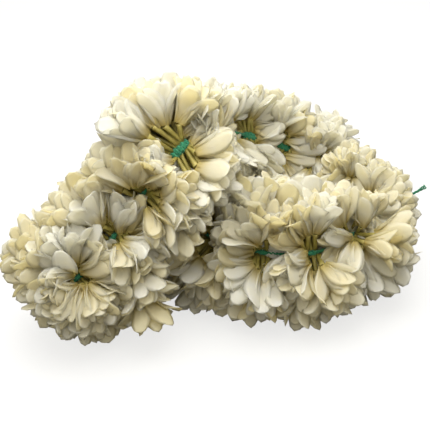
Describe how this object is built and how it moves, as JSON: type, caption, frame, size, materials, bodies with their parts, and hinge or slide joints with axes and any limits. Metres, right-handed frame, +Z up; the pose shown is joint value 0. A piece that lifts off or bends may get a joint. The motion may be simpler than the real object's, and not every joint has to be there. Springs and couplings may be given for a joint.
{
  "type": "jasmine flower string",
  "caption": "String of fresh jasmine flowers in bunches knotted on a green thread, laid down in one loose loop that crosses over itself, for garlands, hair and table decoration.",
  "frame": {"origin": "on the surface that the string lies on, under the middle of the pile's bounding box", "axes": "+Z up from the surface, +X to the right along the longer side of the pile, -Y towards the front, where the string's first end lies"},
  "size_m": [0.1769, 0.1334, 0.0943],
  "materials": {
    "flower": "matt fresh petals, creamy white turning yellow-cream towards the throat, on olive tubes",
    "thread": "matt twisted cotton thread, dyed blue-green"
  },
  "bodies": {
    "root": {"thread": "thread", "loose_thread_end": "thread", "bunch_01_upper": "flower", "bunch_01_lower": "flower", "bunch_02_upper": "flower", "bunch_02_lower": "flower", "bunch_03_upper": "flower", "bunch_03_lower": "flower", "bunch_04_upper": "flower", "bunch_04_lower": "flower", "bunch_05_upper": "flower", "bunch_05_lower": "flower", "bunch_06_upper": "flower", "bunch_06_lower": "flower", "bunch_07_upper": "flower", "bunch_07_lower": "flower", "bunch_08_upper": "flower", "bunch_08_lower": "flower", "bunch_09_upper": "flower", "bunch_09_lower": "flower", "bunch_10_upper": "flower", "bunch_10_lower": "flower", "bunch_11_upper": "flower", "bunch_11_lower": "flower", "bunch_12_upper": "flower", "bunch_12_lower": "flower", "bunch_13_upper": "flower", "bunch_13_lower": "flower", "bunch_14_upper": "flower", "bunch_14_lower": "flower", "bunch_15_upper": "flower", "bunch_15_lower": "flower", "bunch_16_upper": "flower", "bunch_16_lower": "flower", "bunch_17_upper": "flower", "bunch_17_lower": "flower"}
  },
  "joints": []
}
